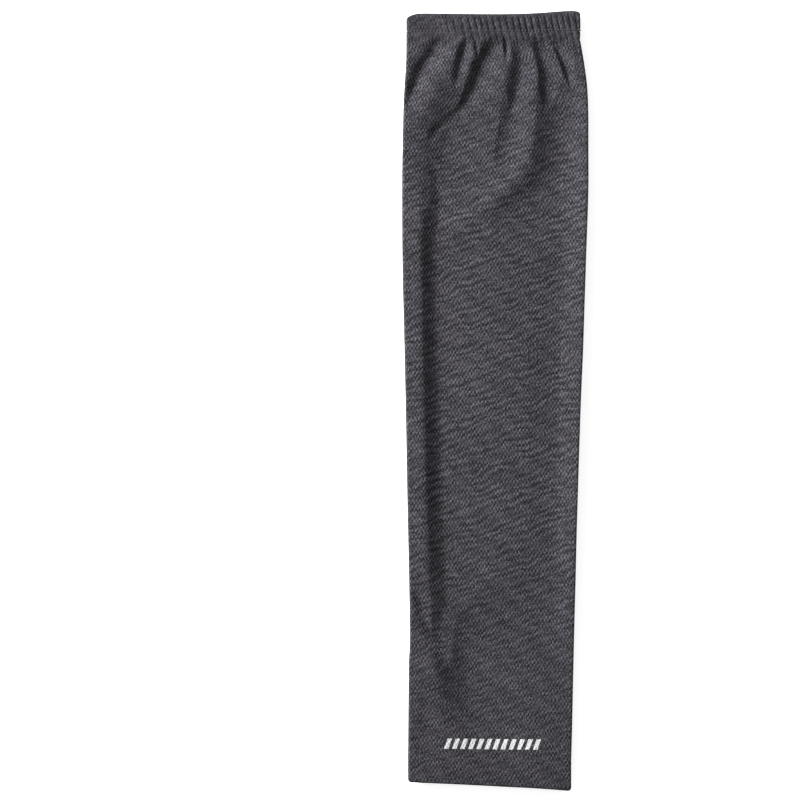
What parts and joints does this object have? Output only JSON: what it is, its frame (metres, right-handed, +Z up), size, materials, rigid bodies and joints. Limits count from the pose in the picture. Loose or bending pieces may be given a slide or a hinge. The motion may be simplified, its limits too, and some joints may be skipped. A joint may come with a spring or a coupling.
{
  "type": "arm protector sleeve",
  "caption": "Long knitted arm protector sleeve lying flat, open at both ends, with a gathered elastic cuff at the upper arm and a turned-up hem at the wrist.",
  "frame": {"origin": "middle of the footprint, on the surface that the sleeve lies on", "axes": "+Y along the sleeve to the elastic cuff, +X across it, +Z up"},
  "size_m": [0.1032, 0.4304, 0.0151],
  "materials": {
    "mesh_knit": "matt birdseye mesh knit in charcoal",
    "ribbed_knit": "the same knit gathered over elastic"
  },
  "bodies": {
    "root": {"sleeve_tube": "mesh_knit", "elastic_cuff": "ribbed_knit", "wrist_hem": "mesh_knit"}
  },
  "joints": []
}
